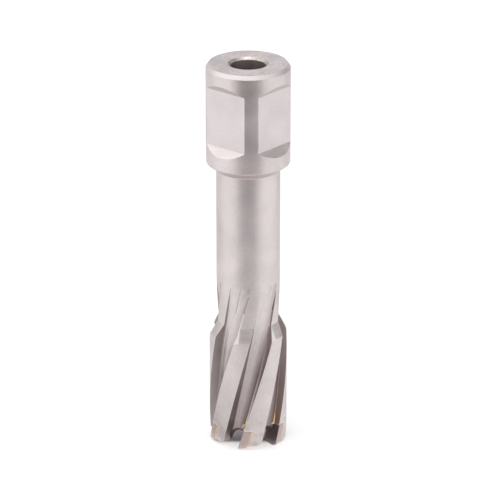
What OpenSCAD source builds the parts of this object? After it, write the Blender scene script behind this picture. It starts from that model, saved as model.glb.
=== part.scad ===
// Annular cutter with six brazed carbide tips and a plain side-lock shank.
// It stands on its teeth: the tips reach z = 0 and the axis is +Z. Sizes in mm, angles in degrees.

/* [Shank] */
// Length over all, from the tooth tips to the shank's end
total_len = 91.2; // [88:0.1:95]
// Diameter of the shank
shank_d = 19.05; // [18.8:0.05:19.3]
// Length of the shank down to its lower rim
shank_len = 23.1; // [22.5:0.1:25]
// Chamfer at the shank's end, across
end_chamfer = 0.6; // [0.3:0.1:1]
// Chamfer at the shank's end, along the axis
end_chamfer_len = 0.85; // [0.4:0.05:1.2]
// Depth of the two clamping flats
flat_depth = 1.78; // [1.2:0.01:2]
// Length of the flats between their ramps
flat_len = 13.2; // [10:0.1:13.5]
// From the shank's end to the flats
flat_from_end = 5; // [4:0.1:5.2]
// Diameter of the bore for the pilot pin
bore_d = 8; // [7:0.05:8.4]
// Width of the countersink at the bore's mouth
bore_sink = 0.55; // [0.2:0.05:0.9]

/* [Neck] */
// Diameter of the neck
neck_d = 14.5; // [14.2:0.1:15]
// Height of the cone under the shank
neck_cone_len = 1.75; // [1:0.05:3]
// Radius between the neck and that cone
neck_fillet = 0.4; // [0.2:0.05:0.8]
// Width of the broken edge at the shank's lower rim
rim_break = 0.12; // [0.05:0.01:0.25]

/* [Head] */
// Diameter that the tips cut
cut_d = 18; // [17.6:0.1:18.4]
// Height of the lands over the tooth tips
land_len = 26.8; // [22:0.1:28]
// Height of the shoulder between the lands and the neck
shoulder_len = 3; // [2:0.1:4]
// Width of the small facet on a shoulder's leading corner
corner_w = 1.15; // [0.8:0.05:1.6]
// Depth of that facet
corner_sink = 0.25; // [0.1:0.01:0.4]
// From the top of the shoulder down to that facet
corner_gap = 0.2; // [0.1:0.05:0.6]
// Diameter of the cup that takes the core
cup_d = 10.6; // [10:0.1:11]
// Depth of the cup
cup_depth = 56; // [48:0.5:60]

/* [Flutes] */
// Lead of the cutting faces
face_lead = 175.6; // [165:0.1:190]
// Lead of the walls at the teeth's heels
heel_lead = 215.6; // [205:0.1:225]
// Width of a land at the tooth tips
land_angle = 34.4; // [32:0.1:36]
// Diameter at the floor of the flutes
floor_d = 13.3; // [13:0.05:13.6]
// Height at which the flutes run out of the neck
runout_top = 39.6; // [37:0.1:43]
// Radius of the wheel that cuts the run-out
wheel_r = 63; // [45:1:80]
// Rake of the cutting faces
face_rake = 5; // [0:0.5:8]
// Lean of the walls at the heels
heel_lean = 12; // [6:0.5:14]
// Length of the rounding at the foot of those walls
heel_round = 0.45; // [0.25:0.05:0.7]
// Width of the ledge at the foot of the cutting faces
ledge_w = 0.28; // [0.15:0.01:0.5]
// Share of a flute's width taken by the slope up to the ledge
slope_share = 0.43; // [0.35:0.01:0.48]

/* [Tips] */
// Thickness of a tip
tip_t = 1.85; // [1.6:0.05:2.2]
// Height of a tip
tip_h = 4.7; // [4:0.1:5.5]
// Tilt of the tips
tip_tilt = 18; // [15:0.5:20]
// Thickness of the braze
braze_t = 0.35; // [0.2:0.01:0.5]
// How far the tips stand out from the body, outside
tip_proud = 0.1; // [0.05:0.01:0.2]
// How far the tips stand out from the body, inside
tip_proud_in = 0.15; // [0.05:0.01:0.25]
// How far the tips stand out from the body, at the end
tip_proud_end = 0.25; // [0.1:0.01:0.4]
// Distance of the lowest point of the cutting edge from the axis
edge_r = 8; // [7.4:0.1:8.4]
// Rise of the cutting edge towards the axis
edge_rise_in = 6; // [2:0.5:9]
// Rise of the cutting edge towards the outside
edge_rise_out = 19; // [12:0.5:24]
// Relief behind the cutting edge
end_relief = 11; // [8:0.5:13]

/* [Gullets] */
// Width of a gullet
gullet_w = 3.6; // [3.2:0.1:3.8]
// Height of a gullet at the floor of the flute
gullet_h = 4.55; // [4:0.05:5]
// Slope of a gullet, rising outwards
gullet_slope = 38; // [30:1:42]
// Distance of a gullet's middle from the cutting edge
gullet_gap = 0.55; // [0.4:0.05:0.7]

/* [Hidden] */
$fn = 96;
over = 1;
teeth = 6;
pitch = 360 / teeth;
// direction of the first cutting edge at z = 0; the flats face -X and -Y
first_edge = 24;

shank_r = shank_d / 2;
shank_low = total_len - shank_len;
neck_r = neck_d / 2;
neck_top = shank_low - neck_cone_len;
tip_r = cut_d / 2;
land_r = tip_r - tip_proud;
bore_r = bore_d / 2;
cup_r = cup_d / 2;
tip_in_r = cup_r - tip_proud_in;
floor_r = floor_d / 2;
ledge_r = neck_r - 0.05;
outer_r = tip_r + 1.4;
inner_r = floor_r - 0.45;

flat_top = total_len - flat_from_end;
flat_x = shank_r - flat_depth;

// height at which the flute's floor starts to rise into the run-out
runout_low = runout_top - sqrt(2 * wheel_r * (neck_r - floor_r));
sweep_low = -0.6;
sweep_top = runout_top + 3.4;
sweep_steps = 22;
slope_steps = 4;
// the slope runs on a little under the floor, so that the two cross
slope_dip = 0.14;
// and so does the rounding at the heel's foot
round_dip = 0.06;
round_steps = 4;
cone_lean = atan2(shank_r - neck_r, neck_cone_len);

tip_run = tan(tip_tilt);
pocket_t = tip_t + braze_t;
pocket_h = tip_h + braze_t;
front_gap = 0.3;
// where the prisms of tips, braze and pockets start: inside the cup, past the inner corners
prism_start = cup_r / 2;

steel = [0.80, 0.78, 0.77];
carbide = [0.62, 0.61, 0.61];
braze = [0.80, 0.65, 0.38];

function polar(r, a) = [r * cos(a), r * sin(a)];
function turned(p, a) = [p.x * cos(a) - p.y * sin(a), p.x * sin(a) + p.y * cos(a)];

// point of a flute wall that meets the land at angle a, with its foot leaning by lean; t runs inwards
function wall_point(a, lean, t) = turned([land_r - t * cos(lean), t * sin(lean)], a);
// how far inwards such a wall crosses radius r
function wall_depth(lean, r) = land_r * cos(lean) - sqrt(r * r - pow(land_r * sin(lean), 2));

function face_angle(z) = 360 * z / face_lead;
function heel_angle(z) = land_angle - pitch + 360 * z / heel_lead;

// slope between the floor and the ledge: u runs from 0 at the floor to 1 at the ledge
function slope_r(u) = floor_r + (ledge_r - floor_r) * u * (0.45 + 0.55 * u);
function slope_angle(z, u) =
    let (ledge_a = face_angle(z) - ledge_w / ledge_r * 90 / PI,
        foot_a = face_angle(z) - slope_share * (face_angle(z) - heel_angle(z)))
    foot_a + u * (ledge_a - foot_a);

// direction in which the rounding at the heel's foot ends on the floor
function round_angle(z) =
    let (foot = wall_point(heel_angle(z), heel_lean, wall_depth(heel_lean, floor_r)))
    atan2(foot.y, foot.x) + heel_round / floor_r * 180 / PI;

// rounding between the floor and the heel's wall, a curve drawn towards their corner
function heel_foot(z) =
    let (corner_t = wall_depth(heel_lean, floor_r),
        on_floor = polar(floor_r - round_dip, round_angle(z)),
        corner = wall_point(heel_angle(z), heel_lean, corner_t),
        on_wall = wall_point(heel_angle(z), heel_lean, corner_t - heel_round))
    [for (i = [0:round_steps])
        let (u = i / round_steps)
        pow(1 - u, 2) * on_floor + 2 * u * (1 - u) * corner + u * u * on_wall];

// outline of a flute at height z: heel's outer end, cutting face, ledge, slope, heel's foot
function flute_outline(z) = concat(
    [wall_point(heel_angle(z), heel_lean, land_r - outer_r)],
    [wall_point(face_angle(z), face_rake, land_r - outer_r)],
    [wall_point(face_angle(z), face_rake, (land_r - ledge_r) / cos(face_rake))],
    [for (i = [0:slope_steps])
        let (u = 1 - (1 + slope_dip) * i / slope_steps)
        polar(slope_r(u), slope_angle(z, u))],
    [polar(inner_r, slope_angle(z, -1.5 * slope_dip))],
    [polar(inner_r, round_angle(z))],
    heel_foot(z)
);

// surface of revolution that the flutes' floor lies on
module flute_floor() {
    steps = 10;
    flare_len = sweep_top + over - runout_low;
    flare = [for (i = [0:steps])
        let (z = flare_len * i / steps)
        [floor_r + wheel_r - sqrt(wheel_r * wheel_r - z * z), runout_low + z]];
    rotate_extrude()
        polygon(concat([[0, sweep_low - over], [floor_r, sweep_low - over]], flare, [[0, sweep_top + over]]));
}

// space of one flute, in front of the cutting edge that lies along +X at z = 0
module flute() {
    n = len(flute_outline(0));
    heights = [for (i = [0:sweep_steps]) sweep_low + (sweep_top - sweep_low) * i / sweep_steps];
    points = [for (z = heights) for (p = flute_outline(z)) [p.x, p.y, z]];
    sides = [for (i = [0:sweep_steps - 1]) for (j = [0:n - 1])
        let (k = (j + 1) % n, low = i * n, high = low + n)
        each [[low + j, high + j, high + k], [low + j, high + k, low + k]]];
    bottom = [for (j = [0:n - 1]) j];
    top = [for (j = [0:n - 1]) sweep_steps * n + (n - j) % n];
    difference() {
        polyhedron(points = points, faces = concat(sides, [bottom, top]));
        flute_floor();
    }
}

// everything that turning gives, before the flats and the flutes
module turned_blank() {
    head = [[cup_r, 0], [land_r, 0], [land_r, land_len], [neck_r, land_len + shoulder_len]];
    fillet_low = neck_top - neck_fillet * tan(cone_lean / 2);
    fillet = [for (i = [0:round_steps])
        let (a = cone_lean * i / round_steps)
        [neck_r + neck_fillet * (1 - cos(a)), fillet_low + neck_fillet * sin(a)]];
    shank = [
        [shank_r - rim_break * sin(cone_lean), shank_low - rim_break * cos(cone_lean)],
        [shank_r, shank_low + rim_break],
        [shank_r, total_len - end_chamfer_len],
        [shank_r - end_chamfer, total_len]
    ];
    bore = [
        [bore_r + bore_sink, total_len],
        [bore_r, total_len - bore_sink],
        [bore_r, cup_depth + cup_r - bore_r],
        [cup_r, cup_depth]
    ];
    rotate_extrude()
        polygon(concat(head, fillet, shank, bore));
}

// what a small flat facet takes off the leading corner of a tooth's shoulder
module corner_cut() {
    // the cut runs past the facet below, beside and above it
    past = 1.4;
    margin = 0.3;
    lift = 1.5;
    facet_len = shoulder_len - corner_gap;
    facet_r = neck_r + (land_r - neck_r) * corner_gap / shoulder_len;
    function on_face(r, z) = concat(wall_point(face_angle(z), face_rake, wall_depth(face_rake, r)), [z]);
    top = on_face(facet_r, land_len + facet_len);
    sunk = on_face(land_r - corner_sink, land_len) - top;
    back = concat(polar(land_r, face_angle(land_len) + corner_w / land_r * 180 / PI), [land_len]) - top;
    above = top - sunk * corner_gap / facet_len / 2;
    side = margin * (back - sunk) / norm(back - sunk);
    outwards = lift * cross(sunk, back) / norm(cross(sunk, back));
    facet = [above - side, above + side, top + past * back + side, top + past * sunk - side];
    n = len(facet);
    sides = [for (j = [0:n - 1])
        let (k = (j + 1) % n)
        [j, k, k + n, j + n]];
    polyhedron(
        points = concat(facet, [for (p = facet) p + outwards]),
        faces = concat([[3, 2, 1, 0], [4, 5, 6, 7]], sides)
    );
}

// space over a flat that faces +X, with a ramp of 45 degrees at both ends
module flat_cut() {
    reach = flat_depth + over;
    translate([0, shank_r, 0])
        rotate([90, 0, 0])
            linear_extrude(height = shank_d)
                polygon([
                    [flat_x, flat_top - flat_len],
                    [flat_x + reach, flat_top - flat_len - reach],
                    [flat_x + reach, flat_top + reach],
                    [flat_x, flat_top]
                ]);
}

// prism that runs outwards along +X over an outline in Y and Z
module outward(from, to) {
    translate([from, 0, 0])
        rotate([90, 0, 90])
            linear_extrude(height = to - from)
                children();
}

// space in front of a tip, slanted so that it rises outwards
module gullet() {
    half = gullet_w / 2;
    axis_drop = half / cos(gullet_slope);
    translate([floor_r, -gullet_gap, gullet_h - axis_drop])
        rotate([0, -gullet_slope, 0])
            outward(-4.5, 6)
                union() {
                    circle(r = half);
                    translate([-half, -6])
                        square([gullet_w, 6]);
                }
}

// what the end relief takes off a tooth, in two facets that meet under the lowest point
module end_cut(lift) {
    translate([edge_r, 0, lift]) {
        rotate([end_relief, edge_rise_in, 0])
            translate([-7, -4, -5])
                cube([10, 12, 5]);
        rotate([end_relief, -edge_rise_out, 0])
            translate([-3, -4, -5])
                cube([7, 12, 5]);
    }
}

module tooth_sector() {
    linear_extrude(height = 12, center = true)
        polygon([[0, 0], polar(16, -4), polar(16, pitch / 2 - 4), polar(16, pitch - 9)]);
}

module tip_outline() {
    polygon([
        [-over * tip_run, -over],
        [tip_t - over * tip_run, -over],
        [tip_t + tip_h * tip_run, tip_h],
        [tip_h * tip_run, tip_h]
    ]);
}

module braze_outline() {
    polygon([
        [tip_t - over * tip_run, -over],
        [pocket_t - over * tip_run, -over],
        [pocket_t + pocket_h * tip_run, pocket_h],
        [pocket_h * tip_run, pocket_h],
        [tip_h * tip_run, tip_h],
        [tip_t + tip_h * tip_run, tip_h]
    ]);
}

module pocket_outline() {
    polygon([
        [-front_gap - over * tip_run, -over],
        [pocket_t - over * tip_run, -over],
        [pocket_t + pocket_h * tip_run, pocket_h],
        [-front_gap + pocket_h * tip_run, pocket_h]
    ]);
}

module ring(r_in, r_out) {
    translate([0, 0, -over])
        difference() {
            cylinder(r = r_out, h = pocket_h + 2 * over);
            translate([0, 0, -over])
                cylinder(r = r_in, h = pocket_h + 4 * over);
        }
}

module body() {
    color(steel)
        difference() {
            turned_blank();
            for (a = [180, 270])
                rotate(a)
                    flat_cut();
            for (i = [0:teeth - 1])
                rotate(first_edge + i * pitch) {
                    flute();
                    corner_cut();
                    gullet();
                    outward(prism_start, tip_r + over)
                        pocket_outline();
                    intersection() {
                        end_cut(tip_proud_end);
                        tooth_sector();
                    }
                }
        }
}

module carbide_tip(i) {
    color(carbide)
        rotate(first_edge + (i - 1) * pitch)
            difference() {
                intersection() {
                    outward(prism_start, tip_r + over)
                        tip_outline();
                    ring(tip_in_r, tip_r);
                }
                end_cut(0);
            }
}

module braze_seam(i) {
    color(braze)
        rotate(first_edge + (i - 1) * pitch)
            difference() {
                intersection() {
                    outward(prism_start, tip_r + over)
                        braze_outline();
                    ring(cup_r, land_r);
                }
                end_cut(tip_proud_end);
            }
}

body();
carbide_tip(1);  // carbide_tip_1
carbide_tip(2);  // carbide_tip_2
carbide_tip(3);  // carbide_tip_3
carbide_tip(4);  // carbide_tip_4
carbide_tip(5);  // carbide_tip_5
carbide_tip(6);  // carbide_tip_6
braze_seam(1);  // braze_seam_1
braze_seam(2);  // braze_seam_2
braze_seam(3);  // braze_seam_3
braze_seam(4);  // braze_seam_4
braze_seam(5);  // braze_seam_5
braze_seam(6);  // braze_seam_6
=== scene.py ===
"""Annular cutter: a hollow fluted cutter with six brazed carbide tips and a side-lock shank.

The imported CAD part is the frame. Each operator below makes one piece, or one group of like pieces, around it.
Lengths in the code are millimetres until a mesh is written, and the axis of the cutter is +Z.
"""

import math
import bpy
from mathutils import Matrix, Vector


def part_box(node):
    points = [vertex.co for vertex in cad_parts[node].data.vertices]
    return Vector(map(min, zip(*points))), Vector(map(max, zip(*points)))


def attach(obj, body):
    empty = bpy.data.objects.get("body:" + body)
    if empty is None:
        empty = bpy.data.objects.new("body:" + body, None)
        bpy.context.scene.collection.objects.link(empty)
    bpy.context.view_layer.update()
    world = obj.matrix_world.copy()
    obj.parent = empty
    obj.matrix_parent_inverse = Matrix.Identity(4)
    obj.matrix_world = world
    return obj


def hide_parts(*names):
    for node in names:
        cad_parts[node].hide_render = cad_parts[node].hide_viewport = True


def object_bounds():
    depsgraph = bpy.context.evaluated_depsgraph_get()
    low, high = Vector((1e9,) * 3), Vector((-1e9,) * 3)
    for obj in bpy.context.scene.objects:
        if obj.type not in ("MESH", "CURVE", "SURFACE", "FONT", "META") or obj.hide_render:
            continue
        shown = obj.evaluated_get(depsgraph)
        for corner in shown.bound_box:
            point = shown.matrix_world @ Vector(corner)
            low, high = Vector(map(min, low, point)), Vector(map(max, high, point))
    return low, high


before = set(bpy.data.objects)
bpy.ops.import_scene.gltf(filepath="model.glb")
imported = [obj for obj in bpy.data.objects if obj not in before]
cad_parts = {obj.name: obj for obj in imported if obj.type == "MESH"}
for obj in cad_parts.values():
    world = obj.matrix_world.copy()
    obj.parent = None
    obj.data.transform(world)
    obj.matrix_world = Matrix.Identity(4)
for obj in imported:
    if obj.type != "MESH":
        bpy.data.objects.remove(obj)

from types import SimpleNamespace

import bmesh
import bpy
import numpy as np
from bpy.props import FloatProperty, FloatVectorProperty, IntProperty, PointerProperty
from mathutils import Matrix, Vector

bl_info = {
    "name": "Annular cutter",
    "version": (1, 0, 0),
    "blender": (4, 5, 0),
    "location": "View3D > Sidebar > Cutter",
    "description": "Makes a fluted annular cutter with brazed carbide tips on a pale studio floor",
    "category": "Add Mesh",
}

MM = 0.001
CAD_LOW, CAD_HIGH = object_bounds()
BODY_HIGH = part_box("body")[1]
TIPS = [f"carbide_tip_{i}" for i in range(1, 7)]
SEAMS = [f"braze_seam_{i}" for i in range(1, 7)]

WHITE = (1, 1, 1, 1)
# darkest tone of the cards, a little warm, and that of the floor's glow in the hollow, a little purple
WARM_BLACK = (0.03, 0.0, 0.006, 1)
HOLLOW_TONE = (1, 0.8, 0.92, 1)

# finishes of the body's skin, kept on its faces until the materials are set
SKIN, FLUTE, SHADED_HEEL, FACE, LEDGE_HIGHLIGHT, CONE, END = range(7)

# strips across one pitch of the fluted skin: the land, a heel wall or a cutting face, the rounding at a
# heel's foot, the floor and the slope; the first of the rounding's strips take the wall's painted shade
LAND_STRIPS, WALL_STRIPS, ROUND_STRIPS, FLOOR_STRIPS, SLOPE_STRIPS = 14, 5, 5, 6, 9
SHADED_ROUND_STRIPS = 3

# largest share of a wall's height that a broken edge takes, and that the rounding at its foot takes
BREAK_SHARE, ROUND_SHARE = 0.3, 0.4

# how steep the slope is where it leaves the floor, against its mean
SLOPE_START = 0.45

# heights closer than this are the same, and a face that lies this deep under the blank's skin is a cut one
SAME, CUT_DEPTH = 1e-6, 0.002

# size of the clouds that vary every metal, in mm
CLOUD = 6

# directions of a block's six sides, with the corners of each side in the order that turns its face outwards
BLOCK_SIDES = {
    (-1, 0, 0): ((0, 0, 0), (0, 0, 1), (0, 1, 1), (0, 1, 0)),
    (1, 0, 0): ((1, 0, 0), (1, 1, 0), (1, 1, 1), (1, 0, 1)),
    (0, -1, 0): ((0, 0, 0), (1, 0, 0), (1, 0, 1), (0, 0, 1)),
    (0, 1, 0): ((0, 1, 0), (0, 1, 1), (1, 1, 1), (1, 1, 0)),
    (0, 0, -1): ((0, 0, 0), (0, 1, 0), (1, 1, 0), (1, 0, 0)),
    (0, 0, 1): ((0, 0, 1), (1, 0, 1), (1, 1, 1), (0, 1, 1)),
}


def linear(hex_colour):
    """Linear RGB of an sRGB hex colour."""
    parts = [int(hex_colour[i:i + 2], 16) / 255 for i in (1, 3, 5)]
    return tuple(c / 12.92 if c <= 0.04045 else ((c + 0.055) / 1.055) ** 2.4 for c in parts)


# sizes and colours

def length(name, description, mm):
    """A length of the panel, given in millimetres."""
    return FloatProperty(name=name, description=description, default=mm * MM, unit="LENGTH", precision=5)


def angle(name, description, degrees):
    """An angle of the panel, given in degrees."""
    return FloatProperty(name=name, description=description, default=math.radians(degrees), subtype="ANGLE")


def number(name, description, value, low=0, high=1000):
    """A plain number of the panel."""
    return FloatProperty(name=name, description=description, default=value, min=low, max=high)


def colour(name, description, hex_colour):
    """A colour of the panel, given as an sRGB hex value."""
    return FloatVectorProperty(name=name, description=description, default=linear(hex_colour),
                               subtype="COLOR", size=3, min=0, max=1)


class CutterSizes(bpy.types.PropertyGroup):
    """Sizes of the cutter: those of the CAD part, and a few small ones that only the scene has."""

    total_len: length("Length", "Length over all", (CAD_HIGH.z - CAD_LOW.z) / MM)
    shank_d: length("Shank", "Diameter of the shank", 2 * BODY_HIGH.x / MM)
    shank_len: length("Shank length", "Length of the shank down to its lower rim", 23.1)
    end_chamfer: length("End chamfer", "Chamfer at the shank's end, across", 0.6)
    end_chamfer_len: length("End chamfer length", "Chamfer at the shank's end, along the axis", 0.85)
    flat_depth: length("Flat depth", "Depth of the two clamping flats", 1.78)
    flat_len: length("Flat length", "Length of the flats between their ramps", 13.2)
    flat_from_end: length("Flat from end", "From the shank's end to the flats", 5)
    bore_d: length("Bore", "Diameter of the bore for the pilot pin", 8)
    bore_sink: length("Countersink", "Width of the countersink at the bore's mouth", 0.55)
    neck_d: length("Neck", "Diameter of the neck", 14.5)
    neck_cone_len: length("Neck cone", "Height of the cone under the shank", 1.75)
    cut_d: length("Cut", "Diameter that the tips cut", 18)
    land_len: length("Lands", "Height of the lands over the tooth tips", 26.8)
    shoulder_len: length("Shoulder", "Height of the shoulder between lands and neck", 3)
    cup_d: length("Cup", "Diameter of the cup that takes the core", 10.6)
    cup_depth: length("Cup depth", "Depth of the cup", 56)
    face_lead: length("Face lead", "Lead of the cutting faces", 175.6)
    heel_lead: length("Heel lead", "Lead of the walls at the teeth's heels", 215.6)
    land_angle: angle("Land width", "Width of a land at the tooth tips", 34.4)
    floor_d: length("Flute floor", "Diameter at the floor of the flutes", 13.3)
    runout_top: length("Run-out", "Height at which the flutes run out of the neck", 39.6)
    wheel_r: length("Wheel", "Radius of the wheel that cuts the run-out", 63)
    face_rake: angle("Rake", "Rake of the cutting faces", 5)
    heel_lean: angle("Heel lean", "Lean of the walls at the heels", 12)
    heel_round: length("Heel rounding", "Length of the rounding at the foot of the heel walls", 0.45)
    ledge_w: length("Ledge", "Width of the ledge at the foot of the cutting faces", 0.28)
    ledge_dip: length("Ledge dip", "How much deeper the ledge lies at the foot of the neck", 0.3)
    slope_step: length("Slope step", "Step between floor and slope where they run out of the neck", 0.12)
    slope_share: number("Slope", "Share of a flute taken by the slope up to the ledge", 0.43, 0.3, 0.5)
    edge_break: length("Edge break", "Width of the broken edges along the lands", 0.06)
    rim_break: length("Rim break", "Width of the broken edge at the shank's lower rim", 0.12)
    neck_fillet: length("Neck fillet", "Radius between the neck and the cone under the shank", 0.4)
    corner_w: length("Corner width", "Width of the small facet on a shoulder's leading corner", 1.15)
    corner_sink: length("Corner depth", "Depth of the small facet on a shoulder's leading corner", 0.25)
    corner_gap: length("Corner gap", "From the top of a shoulder down to that facet", 0.2)
    run_len: length("Braze run", "Height of the braze that ran up the foot of a cutting face", 3)
    tip_t: length("Tip thickness", "Thickness of a tip", 1.85)
    tip_h: length("Tip height", "Height of a tip", 4.7)
    tip_tilt: angle("Tip tilt", "Tilt of the tips", 18)
    braze_t: length("Braze", "Thickness of the braze", 0.35)
    tip_proud: length("Tip proud", "How far the tips stand out from the body, outside", 0.1)
    tip_proud_in: length("Tip proud inside", "How far the tips stand out from the body, inside", 0.15)
    tip_proud_end: length("Tip proud at end", "How far the tips stand out from the body, at the end", 0.25)
    edge_r: length("Edge radius", "Distance of the cutting edge's lowest point from the axis", 8)
    edge_rise_in: angle("Edge rise inside", "Rise of the cutting edge towards the axis", 6)
    edge_rise_out: angle("Edge rise outside", "Rise of the cutting edge towards the outside", 19)
    end_relief: angle("End relief", "Relief behind the cutting edge", 11)
    gullet_w: length("Gullet", "Width of a gullet", 3.6)
    gullet_h: length("Gullet height", "Height of a gullet at the floor of the flute", 4.55)
    gullet_slope: angle("Gullet slope", "Slope of a gullet, rising outwards", 38)
    gullet_gap: length("Gullet gap", "Distance of a gullet's middle from the cutting edge", 0.55)
    first_edge: angle("First edge", "Direction of the first cutting edge", 24)
    teeth: IntProperty(name="Teeth", description="Number of teeth", default=6, min=2, max=12)


class CutterColours(bpy.types.PropertyGroup):
    """Colours of the cutter's finishes."""

    steel: colour("Steel", "Satin skin of the tool steel", "#DCD3D3")
    flat: colour("Flats", "Ground clamping flats", "#DAD2D3")
    ramp: colour("Ramps", "Milled ramps at the ends of the flats", "#D1C8C8")
    end_face: colour("End face", "Turned end of the shank", "#CCC4C5")
    sink: colour("Countersink", "Turned countersink of the bore", "#C6C0BC")
    cone: colour("Neck cone", "Turned cones of the shoulders and under the shank", "#CEC5C2")
    flute: colour("Flutes", "Milled floors of the flutes", "#DDD4D4")
    # painted shade: the flutes turn to this colour up the slopes to the cutting faces
    slope: colour("Slopes", "Milled slopes where they meet the cutting faces", "#796C68")
    # painted highlight: paler than the steel, for the light on the ledges
    ledge: colour("Ledges", "Burnished ledges at the foot of the cutting faces", "#F2ECEA")
    # painted highlight: paler than the skin, for the glint on the corner facets
    corner: colour("Corners", "Ground facets on the shoulders' corners", "#E2DBD9")
    # painted shade: multiplied into the flutes, fully up to 10 mm and fading out by 30 mm
    shade: colour("Lower flutes", "Darkening of the flutes towards the tips", "#DAD4D4")
    # painted shade: the heel walls, the first strips of their rounding and the step high in the run-out
    heel: colour("Heel walls", "Milled walls behind the lands", "#ABA2A1")
    gullet: colour("Gullets", "Gullets and seats of the tips", "#7F7571")
    face: colour("Cutting faces", "Ground faces over the tips", "#B5A8A6")
    bore: colour("Bore", "Bore and cup", "#BBB1AF")
    carbide: colour("Carbide", "Ground hard metal of the tips", "#C4B4B1")
    # painted shade: darker than the ground carbide
    front: colour("Tip fronts", "Front faces of the tips", "#8E8583")
    braze: colour("Braze", "Golden filler of the brazed joints", "#E8CAA2")
    wash: colour("Pale braze", "Filler that flowed thin over the tips", "#E8DCD7")
    stain: colour("Stain", "Heat stain beside the brazed joints", "#8C6A48")
    film: colour("Film", "Film of braze on the cutting faces", "#CFA878")


class StageSettings(bpy.types.PropertyGroup):
    """Camera and light."""

    azimuth: angle("Azimuth", "Direction of the camera round the cutter", -49.4)
    distance: length("Distance", "Distance of the camera from the axis", 688.2)
    height: length("Height", "Height of the camera over the floor", 324.1)
    aim: length("Aim height", "Height that the camera looks at", 46.33)
    aim_side: length("Aim beside", "How far to the right of the axis the camera looks", 0.41)
    focal: number("Lens", "Focal length in mm on a sensor of 36 mm", 234.5, 1)
    top_light: number("Top light", "Radiance of the softbox overhead", 1.2)
    side_light: number("Side light", "Radiance of the softbox on the left", 0.62)
    fill: number("Fill", "Strength of the even light all round", 0.55)
    floor_glow: number("Floor glow", "White that the floor keeps in the shadow", 0.5, 0, 1)
    card_spread: angle("Card spread", "Half the angle of the grey card in front of the cutter", 35)


def cutter_sizes():
    """The panel's sizes in millimetres and radians, with those that follow from them."""
    props = bpy.context.scene.cutter_sizes
    s = SimpleNamespace()
    for key in CutterSizes.__annotations__:
        value = getattr(props, key)
        setattr(s, key, value / MM if props.bl_rna.properties[key].unit == "LENGTH" else value)
    ledge_sink, sweep_past, bends = 0.05, 3.4, 4
    s.pitch = 2 * math.pi / s.teeth
    s.shank_r, s.neck_r, s.tip_r = s.shank_d / 2, s.neck_d / 2, s.cut_d / 2
    s.bore_r, s.cup_r, s.floor_r = s.bore_d / 2, s.cup_d / 2, s.floor_d / 2
    s.mouth_r, s.end_r = s.bore_r + s.bore_sink, s.shank_r - s.end_chamfer
    s.land_r = s.tip_r - s.tip_proud
    s.tip_in_r = s.cup_r - s.tip_proud_in
    s.ledge_r = s.neck_r - ledge_sink
    s.shank_low = s.total_len - s.shank_len
    s.neck_top = s.shank_low - s.neck_cone_len
    s.flat_top = s.total_len - s.flat_from_end
    s.flat_x = s.shank_r - s.flat_depth
    s.shoulder_top = s.land_len + s.shoulder_len
    s.runout_low = s.runout_top - math.sqrt(2 * s.wheel_r * (s.neck_r - s.floor_r))
    s.sweep_top = s.runout_top + sweep_past
    # where the ledge starts to dip, up to where it stays dipped and has its painted highlight, and where
    # it leaves the neck
    s.dip_low, s.burnish_top, s.ledge_top = s.land_len - 2, s.runout_top - 6, s.runout_top - 2
    s.tip_run = math.tan(s.tip_tilt)
    s.pocket_t, s.pocket_h = s.tip_t + s.braze_t, s.tip_h + s.braze_t
    s.front_gap = 0.3
    s.prism_start = s.cup_r / 2
    lean = math.atan2(s.shank_r - s.neck_r, s.neck_cone_len)
    fillet_low = s.neck_top - s.neck_fillet * math.tan(lean / 2)
    fillet = [(s.neck_r + s.neck_fillet * (1 - math.cos(a)), fillet_low + s.neck_fillet * math.sin(a))
              for a in (lean * i / bends for i in range(bends + 1))]
    rim = [(s.shank_r - s.rim_break * math.sin(lean), s.shank_low - s.rim_break * math.cos(lean)),
           (s.shank_r, s.shank_low + s.rim_break)]
    s.cone_low, s.cone_high = fillet[-1][1], rim[0][1]
    s.skin_profile = [(s.land_r, 0), (s.land_r, s.land_len), (s.neck_r, s.shoulder_top), *fillet, *rim,
                      (s.shank_r, s.total_len - s.end_chamfer_len), (s.end_r, s.total_len)]
    s.bore_profile = [(s.cup_r, 0), (s.cup_r, s.cup_depth), (s.bore_r, s.cup_depth + s.cup_r - s.bore_r),
                      (s.bore_r, s.total_len - s.bore_sink), (s.mouth_r, s.total_len)]
    return s


# meshes

def mesh_object(name, points, faces, finish=None):
    """A new object at the origin from points in millimetres. finish is one number per face."""
    mesh = bpy.data.meshes.new(name)
    mesh.from_pydata([tuple(c * MM for c in p) for p in points], [], faces)
    if finish is not None:
        mesh.attributes.new("finish", "INT", "FACE").data.foreach_set("value", finish)
    mesh.update()
    made = bpy.data.objects.new(name, mesh)
    bpy.context.scene.collection.objects.link(made)
    return made


def add(tree, kind, inputs=None, **settings):
    """Adds a node with its settings. A socket given as an input is linked, any other value is set."""
    made = tree.nodes.new(kind)
    for key, value in settings.items():
        setattr(made, key, value)
    for key, value in (inputs or {}).items():
        socket = made.inputs[key]
        if isinstance(value, bpy.types.NodeSocket):
            tree.links.new(value, socket)
        else:
            socket.default_value = value
    return made


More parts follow.
